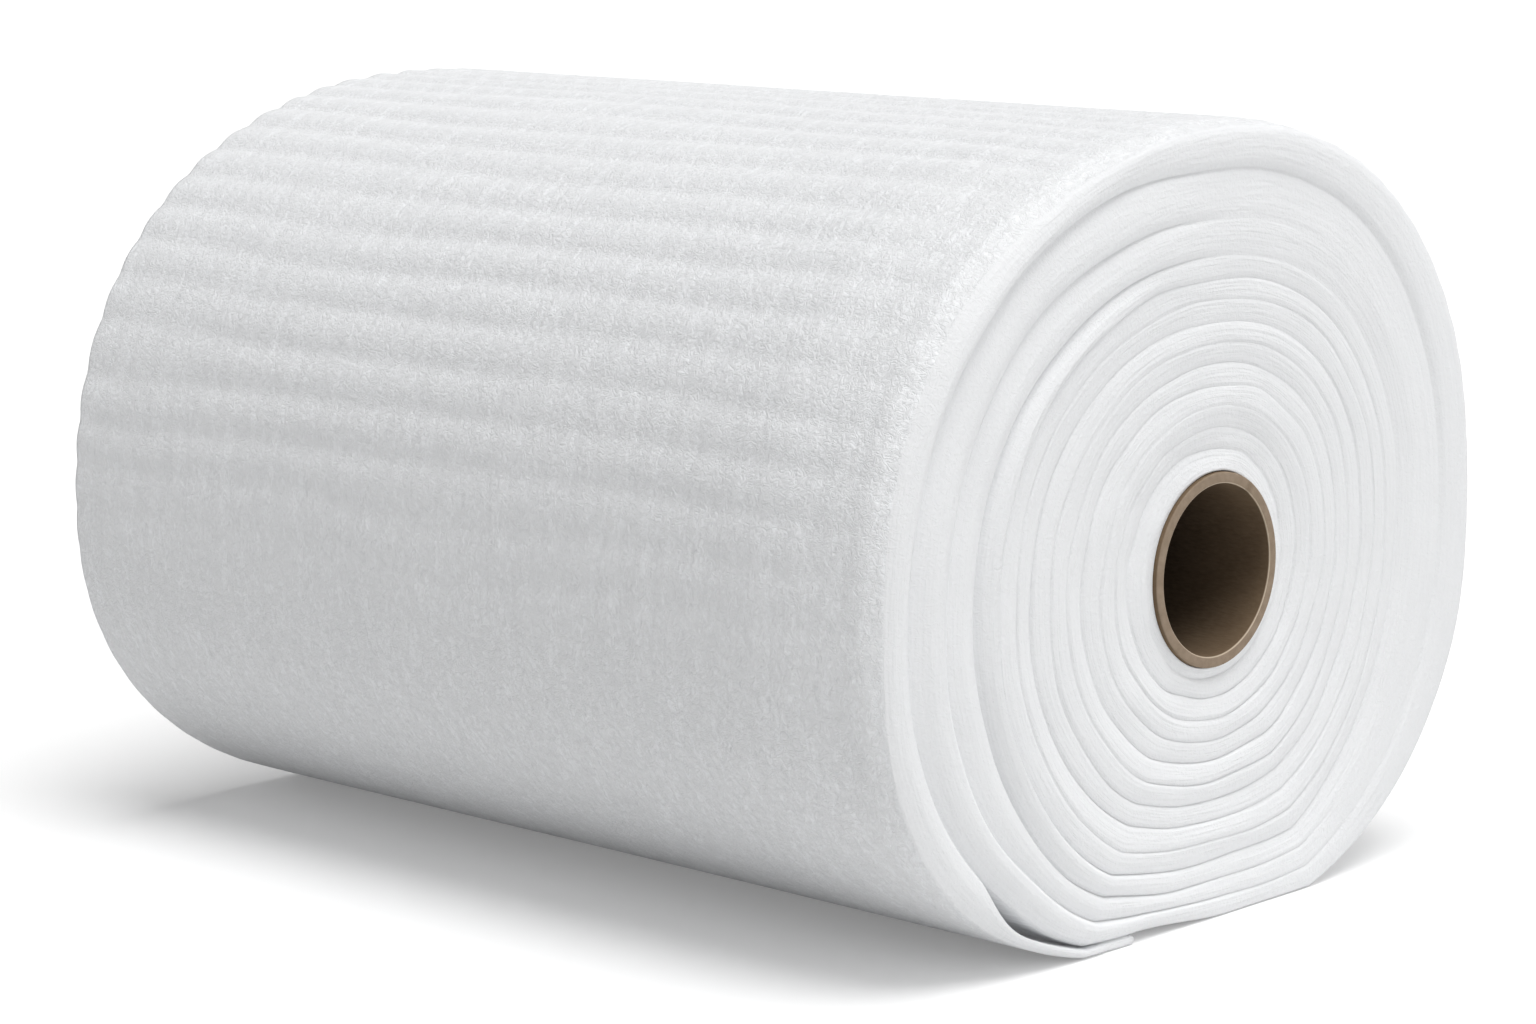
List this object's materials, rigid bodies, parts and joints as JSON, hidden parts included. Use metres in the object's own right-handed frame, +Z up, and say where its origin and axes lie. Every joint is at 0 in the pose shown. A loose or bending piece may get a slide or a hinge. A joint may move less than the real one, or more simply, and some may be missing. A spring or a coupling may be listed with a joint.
{
  "type": "foam wrap roll",
  "caption": "Roll of thick white packing foam wound on a brown paper core, lying on its side with a small flat spot and a loose outer turn.",
  "frame": {"origin": "middle of the roll's bounding box, on the floor it rests on", "axes": "+X along the core's axis, towards the end with the loose turns in view, +Z up, -Y towards the side where the tail comes down"},
  "size_m": [0.511, 0.4306, 0.3533],
  "materials": {
    "core_board": "matte",
    "foam": "satin"
  },
  "bodies": {
    "root": {"core": "core_board", "foam_roll": "foam"}
  },
  "joints": []
}
